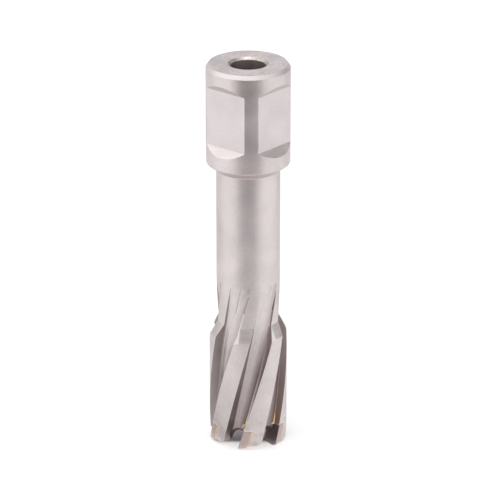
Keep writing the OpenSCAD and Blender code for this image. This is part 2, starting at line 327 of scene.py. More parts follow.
def round_axis_tree(name, materials):
    """Geometry Nodes that repeat a shape round the axis. With several materials, each goes to its finish."""
    tree = bpy.data.node_groups.new(name, "GeometryNodeTree")
    for label, kind in (("Shape", "Geometry"), ("Copies", "Int"), ("First angle", "Float"), ("Step", "Float"),
                        ("Merge distance", "Float")):
        tree.interface.new_socket(label, in_out="INPUT", socket_type="NodeSocket" + kind)
    tree.interface.new_socket("Shape", in_out="OUTPUT", socket_type="NodeSocketGeometry")
    sizes = add(tree, "NodeGroupInput").outputs
    points = add(tree, "GeometryNodePoints", {"Count": sizes["Copies"]})
    index = add(tree, "GeometryNodeInputIndex")
    turn = add(tree, "ShaderNodeMath", {0: index.outputs[0], 1: sizes["Step"], 2: sizes["First angle"]},
               operation="MULTIPLY_ADD")
    spin = add(tree, "ShaderNodeCombineXYZ", {"Z": turn.outputs[0]})
    copies = add(tree, "GeometryNodeInstanceOnPoints",
                 {"Points": points.outputs[0], "Instance": sizes["Shape"], "Rotation": spin.outputs[0]})
    real = add(tree, "GeometryNodeRealizeInstances", {"Geometry": copies.outputs[0]})
    last = add(tree, "GeometryNodeMergeByDistance",
               {"Geometry": real.outputs[0], "Distance": sizes["Merge distance"]})
    finish = add(tree, "GeometryNodeInputNamedAttribute", {"Name": "finish"}, data_type="INT")
    for i, material in enumerate(materials):
        last = add(tree, "GeometryNodeSetMaterial", {"Geometry": last.outputs[0], "Material": material})
        if len(materials) > 1:
            is_it = add(tree, "FunctionNodeCompare", {"A": finish.outputs["Attribute"], "B": i},
                        data_type="INT", operation="EQUAL")
            tree.links.new(is_it.outputs[0], last.inputs["Selection"])
    add(tree, "NodeGroupOutput", {0: last.outputs[0]})
    return tree


def evaluated(made):
    """Turns an object's modifiers into its mesh."""
    deps = bpy.context.evaluated_depsgraph_get()
    mesh = bpy.data.meshes.new_from_object(made.evaluated_get(deps), preserve_all_data_layers=True,
                                           depsgraph=deps)
    old = made.data
    made.modifiers.clear()
    made.data = mesh
    bpy.data.meshes.remove(old)
    mesh.name = made.name
    return made


def repeated(made, materials, copies, first=0.0, step=None, merge=0.0):
    """Repeats an object's mesh round the axis with Geometry Nodes and leaves a plain mesh."""
    tree = round_axis_tree(made.name + "_round_axis", materials)
    values = {"Copies": copies, "First angle": first, "Step": step or 2 * math.pi / copies,
              "Merge distance": merge * MM}
    modifier = made.modifiers.new("round_axis", "NODES")
    modifier.node_group = tree
    for item in tree.interface.items_tree:
        if item.in_out == "INPUT" and item.name in values:
            modifier[item.identifier] = values[item.name]
    return evaluated(made)


def rows_mesh(name, rows, finish=None):
    """A skin between rows of points, each row going the same way round; finish is one number per face."""
    width = len(rows[0])
    faces = [(i * width + j, i * width + j + 1, (i + 1) * width + j + 1, (i + 1) * width + j)
             for i in range(len(rows) - 1) for j in range(width - 1)]
    return mesh_object(name, [p for row in rows for p in row], faces, finish)


def lathe(name, profile, bands, columns=144):
    """A solid of revolution from its profile of (radius, height), listed upwards, from the axis to the axis.
    bands gives each step of the profile its finish."""
    turns = [2 * math.pi * j / columns for j in range(columns + 1)]
    finish = [band for band in bands for _ in range(columns)]
    return merged(rows_mesh(name, [[polar(r, a, z) for a in turns] for r, z in profile], finish))


def merged(made, distance=0.0005):
    """Joins points that coincide and drops the faces that this empties."""
    work = bmesh.new()
    work.from_mesh(made.data)
    bmesh.ops.remove_doubles(work, verts=work.verts, dist=distance * MM)
    bmesh.ops.dissolve_degenerate(work, edges=work.edges, dist=distance * MM)
    work.to_mesh(made.data)
    work.free()
    return made


def outward(made):
    """Turns the faces of a closed mesh outwards."""
    work = bmesh.new()
    work.from_mesh(made.data)
    bmesh.ops.recalc_face_normals(work, faces=work.faces)
    work.to_mesh(made.data)
    work.free()
    return made


def prism(name, low, high, side_finish=None):
    """A solid between two outlines with as many points; each side may have its own finish."""
    n = len(low)
    sides = [(j, (j + 1) % n, n + (j + 1) % n, n + j) for j in range(n)]
    finish = [0, 0, *(side_finish or [0] * n)]
    faces = [tuple(range(n))[::-1], tuple(range(n, 2 * n)), *sides]
    return outward(mesh_object(name, list(low) + list(high), faces, finish))


def cut(made, cutters):
    """Takes the cutters off an object. The new faces keep the cutters' materials."""
    for cutter in cutters:
        modifier = made.modifiers.new(cutter.name, "BOOLEAN")
        modifier.operation = "DIFFERENCE"
        modifier.object = cutter
        modifier.solver = "EXACT"
        modifier.material_mode = "TRANSFER"
    evaluated(made)
    for cutter in cutters:
        mesh = cutter.data
        bpy.data.objects.remove(cutter)
        bpy.data.meshes.remove(mesh)


def polar(r, a, z):
    """The point at a radius, an angle and a height."""
    return (r * math.cos(a), r * math.sin(a), z)


# body

def skin_radius(s, z):
    """Radius of the turned blank at a height."""
    return float(np.interp(z, [p[1] for p in s.skin_profile], [p[0] for p in s.skin_profile]))


def floor_radius(s, z):
    """Radius of the flutes' floor, which rises in the wheel's curve to the run-out."""
    rise = max(z - s.runout_low, 0)
    return s.floor_r + s.wheel_r - math.sqrt(s.wheel_r ** 2 - rise ** 2)


def wall_depth(s, r, lean):
    """How far inwards a leaning flute wall crosses radius r."""
    return s.land_r * math.cos(lean) - math.sqrt(r ** 2 - (s.land_r * math.sin(lean)) ** 2)


def wall_turn(s, r, lean):
    """Angle by which a leaning flute wall has moved on where it crosses radius r."""
    t = wall_depth(s, r, lean)
    return math.atan2(t * math.sin(lean), s.land_r - t * math.cos(lean))


def heel_foot(s, heel, low, size):
    """Rounding between a heel wall and the floor at radius low, a curve drawn towards their corner, as
    points of (angle, radius)."""
    depth = wall_depth(s, low, s.heel_lean)
    on_wall, corner = (np.array((s.land_r - d * math.cos(s.heel_lean), d * math.sin(s.heel_lean)))
                       for d in (depth - size, depth))
    on_floor = np.array(polar(low, wall_turn(s, low, s.heel_lean) + size / low, 0)[:2])
    line = []
    for i in range(ROUND_STRIPS + 1):
        u = i / ROUND_STRIPS
        x, y = (1 - u) ** 2 * on_wall + 2 * u * (1 - u) * corner + u ** 2 * on_floor
        line.append((heel + math.atan2(y, x), max(math.hypot(x, y), low)))
    return line


def face_angle(s, z):
    """Angle of the first cutting face at a height."""
    return 2 * math.pi * z / s.face_lead


def heel_angle(s, z):
    """Angle of the first heel wall at a height."""
    return s.land_angle + 2 * math.pi * z / s.heel_lead


def ledge_radius(s, z):
    """Radius of the ledge at the foot of the cutting faces: it dips at the neck's foot, then runs out."""
    dipped = s.ledge_r - s.ledge_dip
    heights = [s.dip_low, s.shoulder_top, s.burnish_top, s.ledge_top]
    return float(np.interp(z, heights, [s.ledge_r, dipped, dipped, s.neck_r]))


def slope_point(s, z, u):
    """Angle and radius on the slope before the next tooth: u runs from 0 at the floor to 1 at the ledge."""
    face, heel = face_angle(s, z) + s.pitch, heel_angle(s, z)
    ledge_a = face - s.ledge_w / s.ledge_r / 2
    foot_a = face - s.slope_share * (face - heel)
    r = s.floor_r + (ledge_radius(s, z) - s.floor_r) * u * (SLOPE_START + (1 - SLOPE_START) * u)
    return foot_a + u * (ledge_a - foot_a), r


def section(s, z):
    """One pitch of the fluted skin at a height, from a tooth's leading edge to the next, as points of
    (angle, radius)."""
    top = skin_radius(s, z)
    low = min(floor_radius(s, z), top)
    ledge = min(max(ledge_radius(s, z), low), top)
    heel_break = min(s.edge_break, BREAK_SHARE * (top - low))
    face_break = min(s.edge_break, BREAK_SHARE * (top - ledge))
    face, heel = face_angle(s, z), heel_angle(s, z)
    start = face + wall_turn(s, top, s.face_rake) + face_break / top
    end = heel + wall_turn(s, top, s.heel_lean) - heel_break / top
    line = [(start + (end - start) * i / LAND_STRIPS, top) for i in range(LAND_STRIPS + 1)]
    rounding = heel_foot(s, heel, low, min(s.heel_round, ROUND_SHARE * (top - low)))
    for i in range(WALL_STRIPS):
        r = top - heel_break + (rounding[0][1] - top + heel_break) * i / WALL_STRIPS
        line.append((heel + wall_turn(s, r, s.heel_lean), r))
    line += rounding
    # a step parts the floor from the slope; its depth fades out both ways along the flute
    foot, floor_end = line[-1][0], slope_point(s, z, 0)[0] - s.slope_step / low
    line += [(foot + (floor_end - foot) * i / (FLOOR_STRIPS - 1), low) for i in range(1, FLOOR_STRIPS)]
    step = float(np.interp(z, [s.burnish_top - 1, s.burnish_top + 1, s.ledge_top], [0, s.slope_step, 0]))
    for i in range(SLOPE_STRIPS + 1):
        a, r = slope_point(s, z, i / SLOPE_STRIPS)
        line.append((a, min(max(r, low - step), top)))
    for i in range(WALL_STRIPS + 1):
        r = ledge + (top - face_break - ledge) * i / WALL_STRIPS
        line.append((face + s.pitch + wall_turn(s, r, s.face_rake), r))
    line.append((start + s.pitch, top))
    return line


def steps(marks, spacing):
    """Heights from the first mark to the last, through each mark, no further apart than the spacing."""
    out = [marks[0]]
    for low, high in zip(marks, marks[1:]):
        count = max(1, math.ceil((high - low) / spacing))
        out += [low + (high - low) * i / count for i in range(1, count + 1)]
    return out


def closing_ring(s, first):
    """Angles of the ring that closes the bottom under the first section. It runs straight under the tooth, so
    that no face there folds over."""
    tooth_end = LAND_STRIPS + WALL_STRIPS + ROUND_STRIPS + 1
    face_foot = len(first) - 2 - WALL_STRIPS
    spread = list(range(face_foot - len(first) + 1, tooth_end + 1))
    start, end = first[face_foot][0] - s.pitch, first[tooth_end][0]
    ring = {j: start + (end - start) * i / (len(spread) - 1) for i, j in enumerate(spread)}
    ring.update({j + len(first) - 1: a + s.pitch for j, a in list(ring.items()) if j <= 0})
    return [ring.get(j, first[j][0]) for j in range(len(first))]


def strip_finishes():
    """Finish of each strip across a pitch: in the flutes, and high in their run-out."""
    strips = [SKIN] * (LAND_STRIPS + 1) + [SHADED_HEEL] * (WALL_STRIPS + SHADED_ROUND_STRIPS)
    strips += [FLUTE] * (ROUND_STRIPS - SHADED_ROUND_STRIPS + FLOOR_STRIPS + SLOPE_STRIPS)
    strips += [LEDGE_HIGHLIGHT] + [FACE] * WALL_STRIPS + [SKIN]
    # up there the step beside the floor takes the heel walls' painted shade, and the ledge has no painted
    # highlight
    upper = list(strips)
    step_strip = LAND_STRIPS + WALL_STRIPS + ROUND_STRIPS + FLOOR_STRIPS
    upper[step_strip] = SHADED_HEEL
    upper[step_strip + SLOPE_STRIPS + 1] = FACE
    return strips, upper


def quad_finish(s, quad, in_flute, in_runout):
    """Finish of one face of the skin from its corners; in_flute and in_runout are those of its strip."""
    low, high = min(p[2] for p in quad), max(p[2] for p in quad)
    if low >= s.total_len - SAME:
        return END
    if low >= s.cone_low - SAME and high <= s.cone_high + SAME:
        return CONE
    if any(math.hypot(p[0], p[1]) < skin_radius(s, max(p[2], 0)) - CUT_DEPTH for p in quad):
        return in_flute if high <= s.burnish_top else in_runout
    on_shoulder = low >= s.land_len - SAME and high <= s.shoulder_top + SAME
    return CONE if on_shoulder else SKIN


def skin_sector(s):
    """One pitch of the body's solid, before the cuts: fluted head, neck, shank and the caps at both ends."""
    low, teeth_top = -0.5, 6
    at_teeth, in_flutes, on_shank = 0.3, 0.5, 3
    web_r, inner_r = s.floor_r - 0.5, s.mouth_r - 0.3
    marks = [teeth_top, s.land_len, s.shoulder_top, s.runout_low, s.runout_top, s.sweep_top]
    fluted = steps([low, 0, teeth_top], at_teeth)[:-1] + steps(marks, in_flutes)
    sections = [(z, section(s, z)) for z in fluted]
    first, last = sections[0][1], [a for a, r in sections[-1][1]]
    plain = steps([s.sweep_top, *(z for r, z in s.skin_profile[3:-1])], on_shank)[1:] + [s.total_len]
    sections += [(z, [(a, skin_radius(s, z)) for a in last]) for z in plain]
    rows = [[(0, 0, low)] * len(first), [polar(web_r, a, low) for a in closing_ring(s, first)]]
    rows += [[polar(r, a, z) for a, r in line] for z, line in sections]
    for share in (0.25, 0.5, 0.75, 1):
        rows.append([polar(s.end_r + (inner_r - s.end_r) * share, a, s.total_len) for a in last])
    rows.append([(0, 0, s.total_len)] * len(first))
    strips, upper = strip_finishes()
    finish = [quad_finish(s, (below[j], below[j + 1], above[j + 1], above[j]), strips[j], upper[j])
              for below, above in zip(rows, rows[1:]) for j in range(len(first) - 1)]
    return rows_mesh("steel_body", rows, finish)


def bore_cutter(s):
    """Space of the cup, the bore and its countersink; the countersink has the second finish."""
    low, past = -3, 1
    profile = [(0, low), (s.cup_r, low), *s.bore_profile[1:-1], (s.mouth_r + past, s.total_len + past),
               (0, s.total_len + past)]
    return lathe("bore_cutter", profile, [0, 0, 0, 0, 1, 1])


def flat_cutter(s):
    """Space over a flat that faces +X, with a ramp of 45 degrees in the second finish at both ends."""
    reach, half = s.flat_depth + 1, s.shank_r + 1
    outline = [(s.flat_x, s.flat_top - s.flat_len), (s.flat_x + reach, s.flat_top - s.flat_len - reach),
               (s.flat_x + reach, s.flat_top + reach), (s.flat_x, s.flat_top)]
    ends = [[(x, y, z) for x, z in outline] for y in (-half, half)]
    return prism("flat_cutter", *ends, [1, 0, 1, 0])


def corner_cutter(s):
    """What a small flat facet takes off the leading corner of a tooth's shoulder. The cut runs past the
    facet, so that none of its own edges lies on the skin."""
    past, margin, lift = 1.4, 0.3, 1.5

    def on_face(r, z):
        """A point of the first cutting face."""
        return Vector(polar(r, face_angle(s, z) + wall_turn(s, r, s.face_rake), z))

    facet_len = s.shoulder_len - s.corner_gap
    facet_r = s.neck_r + (s.land_r - s.neck_r) * s.corner_gap / s.shoulder_len
    top = on_face(facet_r, s.land_len + facet_len)
    sunk = on_face(s.land_r - s.corner_sink, s.land_len) - top
    back = Vector(polar(s.land_r, face_angle(s, s.land_len) + s.corner_w / s.land_r, s.land_len)) - top
    above = top - sunk * (s.corner_gap / facet_len / 2)
    side = (back - sunk).normalized() * margin
    out = sunk.cross(back).normalized() * lift
    facet = [above - side, above + side, top + back * past + side, top + sunk * past - side]
    return prism("corner_cutter", facet, [p + out for p in facet])


def gullet_cutter(s):
    """Slot in front of a tip, with a round roof, that rises outwards."""
    half, segments = s.gullet_w / 2, 40
    low, start, end = -6, -4.5, 6
    turns = [math.pi * i / segments for i in range(segments + 1)]
    outline = [(half, low), *((half * math.cos(a), half * math.sin(a)) for a in turns), (-half, low)]
    up, out = math.sin(s.gullet_slope), math.cos(s.gullet_slope)

    def place(along, y, z):
        """A point of the slot, along its slope."""
        return (s.floor_r + along * out - z * up, y - s.gullet_gap,
                s.gullet_h - half / out + along * up + z * out)

    ends = [[place(along, y, z) for y, z in outline] for along in (start, end)]
    return prism("gullet_cutter", *ends)


def pocket_cutter(s):
    """Seat of a tip and its braze, sheared along the tilt."""
    low, past = -1, 1
    outline = [(-s.front_gap, low), (s.pocket_t, low), (s.pocket_t, s.pocket_h), (-s.front_gap, s.pocket_h)]
    ends = [[(x, t + z * s.tip_run, z) for t, z in outline] for x in (s.prism_start, s.tip_r + past)]
    return prism("pocket_cutter", *ends)


def relief_planes(s):
    """The two facets of a tooth's end, as slopes along X and Y from the cutting edge's lowest point."""
    return [(-math.tan(s.edge_rise_in), math.tan(s.end_relief) / math.cos(s.edge_rise_in)),
            (math.tan(s.edge_rise_out), math.tan(s.end_relief) / math.cos(s.edge_rise_out))]


def relief_cutter(s, name, plane):
    """What one facet of the end relief takes off a tooth of the body."""
    start, end, count = math.radians(-4), s.pitch - math.radians(9), 6
    inner_r, outer_r, low = 2, 16, -8
    turns = [start + (end - start) * i / count for i in range(count + 1)]
    outline = [polar(outer_r, a, 0)[:2] for a in turns] + [polar(inner_r, a, 0)[:2] for a in reversed(turns)]
    top = [(x, y, s.tip_proud_end + plane[0] * (x - s.edge_r) + plane[1] * y) for x, y in outline]
    return prism(name, [(x, y, low) for x, y in outline], top)


def mesh_values(parts, key, width=1, kind=float):
    """One property of all the points, corners or faces of a mesh, as an array."""
    out = np.empty(len(parts) * width, kind)
    parts.foreach_get(key, out)
    return out.reshape(-1, width) if width > 1 else out


def round_normals(mesh, profiles):
    """Gives turned surfaces the exact normals of their profiles, so that cut faces shade as evenly as whole
    ones."""
    sharp_from, off_by, past_by, least_match = math.radians(22), 0.006, 0.01, 0.97
    mesh.set_sharp_from_angle(angle=sharp_from)
    co = mesh_values(mesh.vertices, "co", 3) / MM
    radius, turn = np.hypot(co[:, 0], co[:, 1]), np.arctan2(co[:, 1], co[:, 0])
    corner = mesh_values(mesh.loops, "vertex_index", kind=int)
    starts = mesh_values(mesh.polygons, "loop_start", kind=int)
    face_of = np.repeat(np.arange(len(starts)), mesh_values(mesh.polygons, "loop_total", kind=int))
    facing = mesh_values(mesh.polygons, "normal", 3)
    normals = np.zeros((len(corner), 3))
    for profile in profiles:
        for (r0, z0), (r1, z1) in zip(profile, profile[1:]):
            wide, tall = r1 - r0, z1 - z0
            run = math.hypot(wide, tall)
            along = ((radius - r0) * wide + (co[:, 2] - z0) * tall) / run
            off = ((radius - r0) * tall - (co[:, 2] - z0) * wide) / run
            on = (np.abs(off) < off_by) & (along > -past_by) & (along < run + past_by)
            exact = np.stack([np.cos(turn) * tall, np.sin(turn) * tall, np.full(len(co), r0 - r1)], 1) / run
            agree = (exact[corner] * facing[face_of]).sum(1)
            side = np.sign(np.add.reduceat(agree, starts))
            fits = np.logical_and.reduceat(on[corner], starts)
            fits &= np.minimum.reduceat(np.abs(agree), starts) > least_match
            pick = fits[face_of]
            normals[pick] = exact[corner[pick]] * side[face_of[pick], None]
    mesh.polygons.foreach_set("use_smooth", [True] * len(mesh.polygons))
    mesh.normals_split_custom_set(normals.tolist())


class CUTTER_OT_body(bpy.types.Operator):
    """Makes the steel body: fluted head, neck, and shank with its flats and bore"""

    bl_idname = "cutter.body"
    bl_label = "Body"

    def execute(self, context):
        s = cutter_sizes()
        skin, gullet = satin_steel(), gullet_steel()
        finishes = [skin, flute_steel_and_shade(s), shaded_heel_steel(s), face_steel(s), ledge_highlight_steel(), cone_steel(),
                    turned_steel()]
        made = repeated(skin_sector(s), finishes, s.teeth, s.first_edge, merge=0.001)
        flats = repeated(flat_cutter(s), [ground_steel(), ramp_steel()], 2, math.pi, math.pi / 2)
        bore = repeated(bore_cutter(s), [bored_steel(), sink_steel()], 1)
        corners = repeated(corner_cutter(s), [corner_highlight_steel()], s.teeth, s.first_edge)
        seats = [repeated(cutter, [gullet], s.teeth, s.first_edge)
                 for cutter in (gullet_cutter(s), pocket_cutter(s))]
        ends = [repeated(relief_cutter(s, f"relief_cutter_{i}", plane), [skin], s.teeth, s.first_edge)
                for i, plane in enumerate(relief_planes(s))]
        cut(made, [bore, flats, *seats, corners, *ends])
        round_normals(made.data, [[*s.skin_profile, (s.mouth_r, s.total_len)], s.bore_profile])
        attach(made, "root")
        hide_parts("body")
        return {"FINISHED"}


# tips and braze

def edge_height(s, x, t, lift):
    """Height of the end facets at distance x outwards, t behind the cutting face."""
    return max((lift + rise * (x - s.edge_r) + back * t) / (1 - back * s.tip_run)
               for rise, back in relief_planes(s))


def tooth_blocks(s, name, across, bands, r_in, r_out, lift, filled, front=0):
    """A solid of blocks in a tooth's pocket. across lists depths behind the cutting face, bands the heights
    over the end facets, filled the (depth, band) blocks that are there, and front is the front's finish."""
    inner, outer, low_rows, rounds = 8, 4, 5, 6
    (in_rise, in_back), (out_rise, out_back) = relief_planes(s)

    def point(i, t, z_high, share):
        """The point in column i at depth t, a share of the way up from the end facets; found in a few rounds,
        since the tilt moves it with its height."""
        z = share * z_high
        for _ in range(rounds):
            y = t + z * s.tip_run
            ridge = s.edge_r + y * (in_back - out_back) / (out_rise - in_rise)
            x_in, x_out = math.sqrt(r_in ** 2 - y ** 2), math.sqrt(r_out ** 2 - y ** 2)
            if i <= inner:
                x = x_in + (ridge - x_in) * i / inner
            else:
                x = ridge + (x_out - ridge) * (i - inner) / outer
            floor = edge_height(s, x, t, lift)
            z = floor + (z_high - floor) * share if share < 1 else z_high
        return (x, t + z * s.tip_run, z)

    rows = [(bands[0], i / low_rows) for i in range(low_rows + 1)] + [(z, 1) for z in bands[1:]]
    band_of = [0] * low_rows + list(range(1, len(bands)))
    index, points, faces, finish = {}, [], [], []

    def corner(i, j, k):
        """Number of a corner's point, which is made when it is first asked for."""
        if (i, j, k) not in index:
            index[i, j, k] = len(points)
            points.append(point(i, across[j], *rows[k]))
        return index[i, j, k]

    cells = {(i, j, k) for i in range(inner + outer) for j in range(len(across) - 1)
             for k in range(len(rows) - 1) if (j, band_of[k]) in filled}
    for i, j, k in sorted(cells):
        for (di, dj, dk), quad in BLOCK_SIDES.items():
            if (i + di, j + dj, k + dk) not in cells:
                faces.append([corner(i + a, j + b, k + c) for a, b, c in quad])
                finish.append(front if dj < 0 and j == 0 else min(band_of[k], 1))
    return mesh_object(name, points, faces, finish)


def broken_edges(made, width, segments=2):
    """Breaks the sharp edges of a mesh with small bevels."""
    bevel = made.modifiers.new("edge_break", "BEVEL")
    bevel.width, bevel.segments, bevel.limit_method = width * MM, segments, "ANGLE"
    bevel.angle_limit = math.radians(30)
    return evaluated(made)


class CUTTER_OT_tips(bpy.types.Operator):
    """Makes the six carbide tips"""

    bl_idname = "cutter.tips"
    bl_label = "Carbide tips"

    def execute(self, context):
        s = cutter_sizes()
        tip_break = 0.04
        finishes = [ground_carbide(), shaded_carbide_front()]
        made = tooth_blocks(s, "carbide_tips", [0, s.tip_t], [s.tip_h], s.tip_in_r, s.tip_r, 0, {(0, 0)}, 1)
        made = repeated(broken_edges(made, tip_break), finishes, s.teeth, s.first_edge)
        made.data.set_sharp_from_angle(angle=math.radians(35))
        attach(made, "root")
        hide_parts(*TIPS)
        return {"FINISHED"}


def braze_run(s, draw):
    """Braze that ran up the foot of a cutting face, as points and faces: rings of a fillet between the slope
    and the face, thinner upwards."""
    rise, wide, high = s.run_len * draw.uniform(0.6, 1.25), draw.uniform(0.3, 0.9), draw.uniform(0.25, 0.6)
    phase = draw.uniform(0, 2 * math.pi, 2)
    count, across = 16, 6
    start, thinnest, hollow, sunk = s.pocket_h - 0.3, 0.06, 0.7, 0.1
    # how it tapers, and how much and how fast its reach and its height waver
    taper, (reach_by, reach_waves), (high_by, high_waves) = 1.3, (0.12, 9), (0.15, 7)
    rings = []
    for i in range(count + 1):
        t = i / count
        z = start + rise * t
        size = max((1 - t) ** taper, thinnest)
        reach = wide * size * (1 + reach_by * math.sin(reach_waves * t + phase[0]))
        face_r = s.ledge_r + high * size * (1 + high_by * math.sin(high_waves * t + phase[1]))
        corner = Vector(polar(s.ledge_r, face_angle(s, z) + wall_turn(s, s.ledge_r, s.face_rake), z))
        on_face = Vector(polar(face_r, face_angle(s, z) + wall_turn(s, face_r, s.face_rake), z))
        slope_len = (slope_point(s, z, 1)[0] - slope_point(s, z, 0)[0]) * s.ledge_r
        turn, slope_r = slope_point(s, z, max(1 - reach / slope_len, 0))
        on_slope = Vector(polar(slope_r, turn - s.pitch, z))
        inner = (on_face + on_slope) / 2 - corner
        hump = corner + inner * hollow
        curve = [on_slope * (1 - u) ** 2 + hump * 2 * u * (1 - u) + on_face * u ** 2
                 for u in np.linspace(0, 1, across + 1)]
        rings.append([*curve, corner - inner.normalized() * sunk])
    n = across + 2
    ends = [tuple(range(n)), tuple(range(count * n, (count + 1) * n))]
    sides = [(i * n + j, i * n + (j + 1) % n, (i + 1) * n + (j + 1) % n, (i + 1) * n + j)
             for i in range(count) for j in range(n)]
    return [p for ring in rings for p in ring], ends + sides


def braze_bead(s, draw):
    """Bead of braze at the corner where a tip meets the leading edge of its land, as points and faces."""
    wide, thick, tall = draw.uniform(0.22, 0.42), draw.uniform(0.12, 0.15), draw.uniform(0.22, 0.42)
    z = s.pocket_h + draw.uniform(-0.1, 0.25)
    lead = face_angle(s, z) + wall_turn(s, s.land_r, s.face_rake) + draw.uniform(0, 0.35) / s.land_r
    phase = draw.uniform(0, 2 * math.pi, 2)
    sunk, uneven, waves_along, waves_up = 0.08, 0.2, 3, 2.5
    middle = Vector(polar(s.land_r - sunk, lead, z))
    out = Vector((math.cos(lead), math.sin(lead), 0))
    along = Vector((-math.sin(lead), math.cos(lead), 0))
    up = Vector((0, 0, 1))
    work = bmesh.new()
    bmesh.ops.create_icosphere(work, subdivisions=3, radius=1)
    points = []
    for vert in work.verts:
        d = vert.co
        swell = 1 + uneven * math.sin(waves_along * d.x + phase[0]) * math.sin(waves_up * d.z + phase[1])
        points.append(middle + (along * d.x * wide + out * d.y * thick + up * d.z * tall) * swell)
    faces = [tuple(v.index for v in face.verts) for face in work.faces]
    work.free()
    return points, faces


def braze_drops(s):
    """The runs and beads of braze on all teeth, each with its own, and for each face whether it is pale."""
    seed = 368
    draw = np.random.default_rng(seed)
    points, faces, pale = [], [], []
    for tooth in range(s.teeth):
        turn = Matrix.Rotation(s.first_edge + tooth * s.pitch, 3, "Z")
        for make, is_pale in ((braze_run, 0), (braze_bead, 1)):
            new_points, new_faces = make(s, draw)
            faces += [tuple(i + len(points) for i in face) for face in new_faces]
            points += [turn @ p for p in new_points]
            pale += [is_pale] * len(new_faces)
    return outward(mesh_object("braze_drops", points, faces)), pale


class CUTTER_OT_braze(bpy.types.Operator):
    """Makes the golden braze behind and over the tips, with the runs and beads that it left"""

    bl_idname = "cutter.braze"
    bl_label = "Braze"

    def execute(self, context):
        s = cutter_sizes()
        finishes = [braze_filler(), pale_braze()]
        behind_and_over = {(1, 0), (1, 1), (0, 1)}
        seams = tooth_blocks(s, "braze_seams", [0, s.tip_t, s.pocket_t], [s.tip_h, s.pocket_h], s.cup_r,
                             s.land_r, s.tip_proud_end, behind_and_over, 1)
        seams = repeated(seams, finishes, s.teeth, s.first_edge)
        seams.data.set_sharp_from_angle(angle=math.radians(35))
        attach(seams, "root")
        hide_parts(*SEAMS)

        drops, pale = braze_drops(s)
        for finish in finishes:
            drops.data.materials.append(finish)
        drops.data.polygons.foreach_set("material_index", pale)
        drops.data.polygons.foreach_set("use_smooth", [True] * len(pale))
        drops.data.set_sharp_from_angle(angle=math.radians(50))
        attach(drops, "root")
        return {"FINISHED"}


# finishes

def colours():
    """The panel's colours."""
    return bpy.context.scene.cutter_colours


def empty_material(name):
    """A material without nodes, and its node tree."""
    made = bpy.data.materials.new(name)
    made.use_nodes = True
    made.node_tree.nodes.clear()
    return made, made.node_tree


def per_mm(size):
    """Texture scale for a pattern whose features are size millimetres across."""
    return 1 / (size * MM)


def maths(tree, operation, first, second):
    """The result of an operation on two values."""
    return add(tree, "ShaderNodeMath", {0: first, 1: second}, operation=operation).outputs[0]


def ranged(tree, value, start, end, first=0.0, last=1.0):
    """A value brought from one range to another and kept within it."""
    return add(tree, "ShaderNodeMapRange", {"Value": value, "From Min": start, "From Max": end,
                                            "To Min": first, "To Max": last}).outputs[0]


def noise(tree, place, size, detail=3.0):
    """A noise whose features are size millimetres across."""
    made = add(tree, "ShaderNodeTexNoise", {"Vector": place, "Scale": per_mm(size), "Detail": detail})
    return made.outputs["Fac"]


def mixed(tree, share, first, second, blend="MIX"):
    """A colour between two."""
    return add(tree, "ShaderNodeMix", {"Factor": share, "A": first, "B": second}, data_type="RGBA",
               blend_type=blend).outputs["Result"]


def unscrewed(tree, place, lead):
    """Coordinates turned back along a helix, so that a pattern along Z follows the flutes."""
    height = add(tree, "ShaderNodeSeparateXYZ", {0: place}).outputs["Z"]
    turn = maths(tree, "MULTIPLY", height, -2 * math.pi / (lead * MM))
    return add(tree, "ShaderNodeVectorRotate", {"Vector": place, "Angle": turn},
               rotation_type="Z_AXIS").outputs[0]


def grained_metal(name, base, grain, stretch, tint, rough, depth, lead=None):
    """A metal with a noise of the grain's size in mm, stretched along X, Y and Z, that tints it, varies its
    roughness and dents it by the depth in mm. With a lead the grain follows that helix.
    The real grain is too fine to show in a render, so it is drawn as coarse as it needs to be."""
    made, tree = empty_material(name)
    shader = add(tree, "ShaderNodeBsdfPrincipled",
                 {"Base Color": (*base, 1), "Metallic": 1.0, "Roughness": sum(rough) / 2})
    add(tree, "ShaderNodeOutputMaterial", {"Surface": shader.outputs[0]})
    place = add(tree, "ShaderNodeTexCoord").outputs["Object"]
    lines = unscrewed(tree, place, lead) if lead else place
    spread = add(tree, "ShaderNodeMapping", {"Vector": lines, "Scale": stretch}).outputs[0]
    fine = noise(tree, spread, grain, detail=4.0)
    both = maths(tree, "ADD", fine, noise(tree, place, CLOUD))
    usual = (0.7, 1.3)
    dark = tuple(c * (1 - tint) for c in base)
    light = tuple(min(c * (1 + tint), 1) for c in base)
    tone = mixed(tree, ranged(tree, both, *usual), (*dark, 1), (*light, 1))
    bump = add(tree, "ShaderNodeBump", {"Height": fine, "Distance": depth * MM, "Strength": 1.0}).outputs[0]
    tree.links.new(tone, shader.inputs["Base Color"])
    tree.links.new(ranged(tree, both, *usual, *rough), shader.inputs["Roughness"])
    tree.links.new(bump, shader.inputs["Normal"])
    return SimpleNamespace(made=made, tree=tree, shader=shader, place=place, lines=lines, tone=tone,
                           bump=bump)


def blend_in(metal, tone, heights, amount, rest=0.0, spot=None, within=None, blend="MIX"):
    """Blends another colour into a metal: by the amount at the first height and by the rest at the second.
    With a spot size in mm it comes in patches, as a heat stain does; within is a further share of it."""
    tree, patch = metal.tree, (0.42, 0.6)
    height = add(tree, "ShaderNodeSeparateXYZ", {0: metal.place}).outputs["Z"]
    share = ranged(tree, height, heights[0] * MM, heights[1] * MM, amount, rest)
    if within:
        share = maths(tree, "MULTIPLY", share, within)
    if spot:
        share = maths(tree, "MULTIPLY", share, ranged(tree, noise(tree, metal.place, spot), *patch))
    metal.tone = mixed(tree, share, metal.tone, (*tone, 1), blend)
    tree.links.new(metal.tone, metal.shader.inputs["Base Color"])


